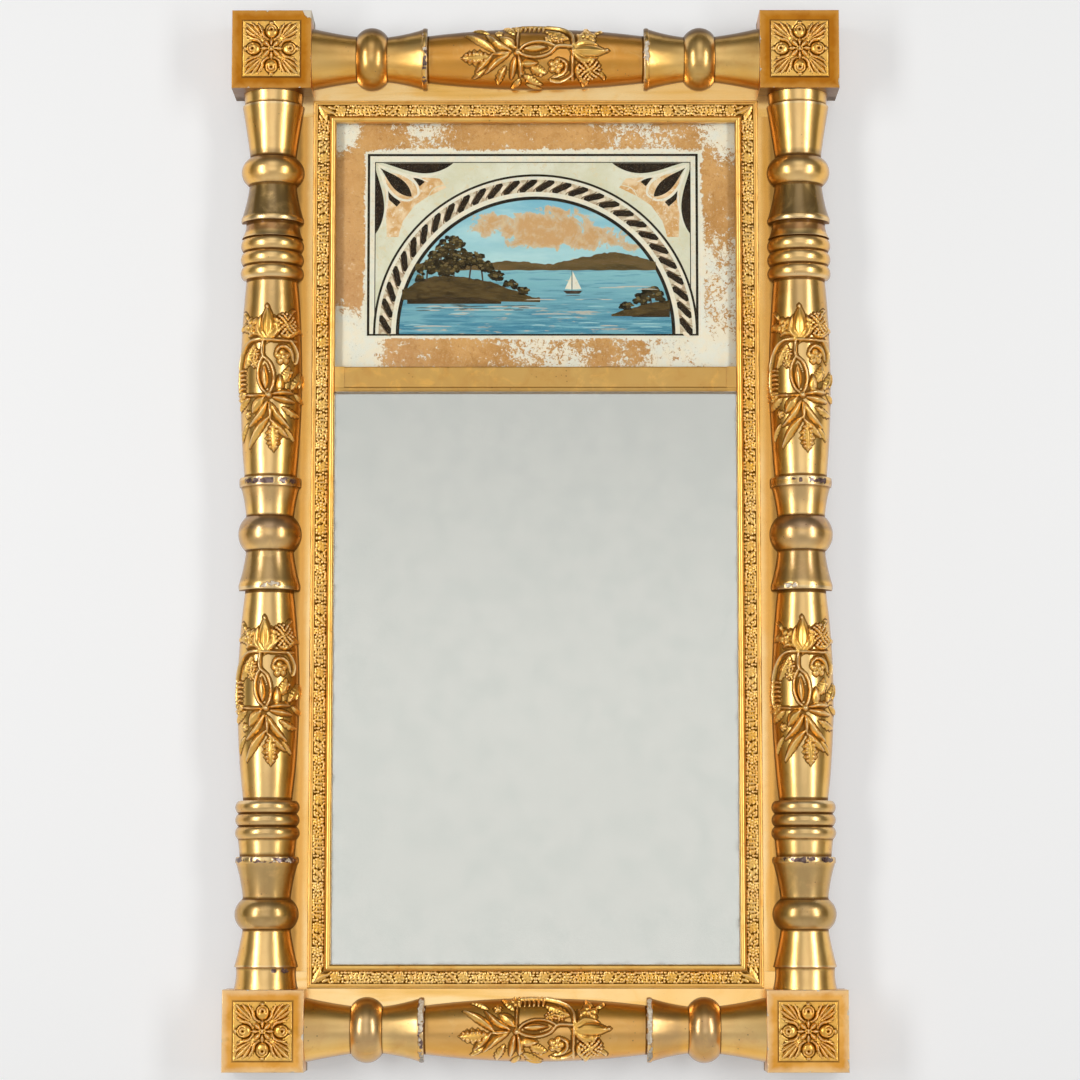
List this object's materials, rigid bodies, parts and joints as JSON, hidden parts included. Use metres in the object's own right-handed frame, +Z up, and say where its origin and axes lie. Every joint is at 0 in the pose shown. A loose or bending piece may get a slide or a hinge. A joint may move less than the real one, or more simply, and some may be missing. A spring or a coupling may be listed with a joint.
{
  "type": "wall mirror",
  "caption": "Upright gilt wall mirror: half-round turned balusters, square corner blocks with rosettes, reverse-painted glass tablet above a mirror plate, strap hangers behind.",
  "frame": {"origin": "on the wall plane, at mid width, level with the axis of the bottom baluster", "axes": "+X to the viewer's right, +Y into the wall, +Z up; the front faces -Y"},
  "size_m": [0.528, 0.0576, 0.9144],
  "materials": {
    "pine_and_gold": "pine, burnished gold leaf on the front face only",
    "gilded_block": "oil gilded, worn at the arrises",
    "gilded_turning": "burnished gold leaf over red bole, with darkened patches",
    "gilded_composition": "cast composition, gilded",
    "gilded_moulding": "gold leaf",
    "gilded_relief": "cast composition, gilded and toned",
    "glass": "old clear glass",
    "reverse_painting": "oil paint and gold leaf on the back of the glass, flaking",
    "silvering": "old tin amalgam, faintly grey",
    "bare_pine": "bare, aged and dusty",
    "iron": "rusted dark",
    "brass": "dull",
    "steel": "dull, turned"
  },
  "bodies": {
    "frame": {"stile_left": "pine_and_gold", "stile_right": "pine_and_gold", "rail_top": "pine_and_gold", "rail_bottom": "pine_and_gold", "corner_block_top_left": "gilded_block", "rosette_top_left": "gilded_composition", "corner_block_top_right": "gilded_block", "rosette_top_right": "gilded_composition", "corner_block_bottom_left": "gilded_block", "rosette_bottom_left": "gilded_composition", "corner_block_bottom_right": "gilded_block", "rosette_bottom_right": "gilded_composition", "baluster_left": "gilded_turning", "baluster_right": "gilded_turning", "baluster_top": "gilded_turning", "baluster_bottom": "gilded_turning", "applique_left_upper": "gilded_composition", "applique_left_lower": "gilded_composition", "applique_right_upper": "gilded_composition", "applique_right_lower": "gilded_composition", "applique_top": "gilded_composition", "applique_bottom": "gilded_composition", "moulding_top": "gilded_moulding", "relief_run_top": "gilded_relief", "moulding_bottom": "gilded_moulding", "relief_run_bottom": "gilded_relief", "moulding_left": "gilded_moulding", "relief_run_left": "gilded_relief", "moulding_right": "gilded_moulding", "relief_run_right": "gilded_relief", "cross_rail": "gilded_moulding", "tablet_glass": "glass", "tablet_painting": "reverse_painting", "mirror_glass": "glass", "mirror_silvering": "silvering", "tablet_glazing_blocks": "bare_pine", "mirror_glazing_blocks": "bare_pine", "backboard_tablet": "bare_pine", "backboard_upper": "bare_pine", "backboard_middle": "bare_pine", "backboard_lower": "bare_pine", "backboard_nails": "iron", "hanger_strap_left": "brass", "hanger_strap_right": "brass", "hanger_screws": "steel"},
    "ring_left": {"hanger_ring_left": "brass"},
    "ring_right": {"hanger_ring_right": "brass"}
  },
  "joints": [
    {"name": "ring_left_swing", "type": "hinge", "parent": "frame", "child": "ring_left", "pos_m": [-0.2175, 0.00285, 0.6679], "axis": [1, 0, 0], "range_deg": [0, 180]},
    {"name": "ring_right_swing", "type": "hinge", "parent": "frame", "child": "ring_right", "pos_m": [0.2175, 0.00285, 0.6679], "axis": [1, 0, 0], "range_deg": [0, 180]}
  ]
}
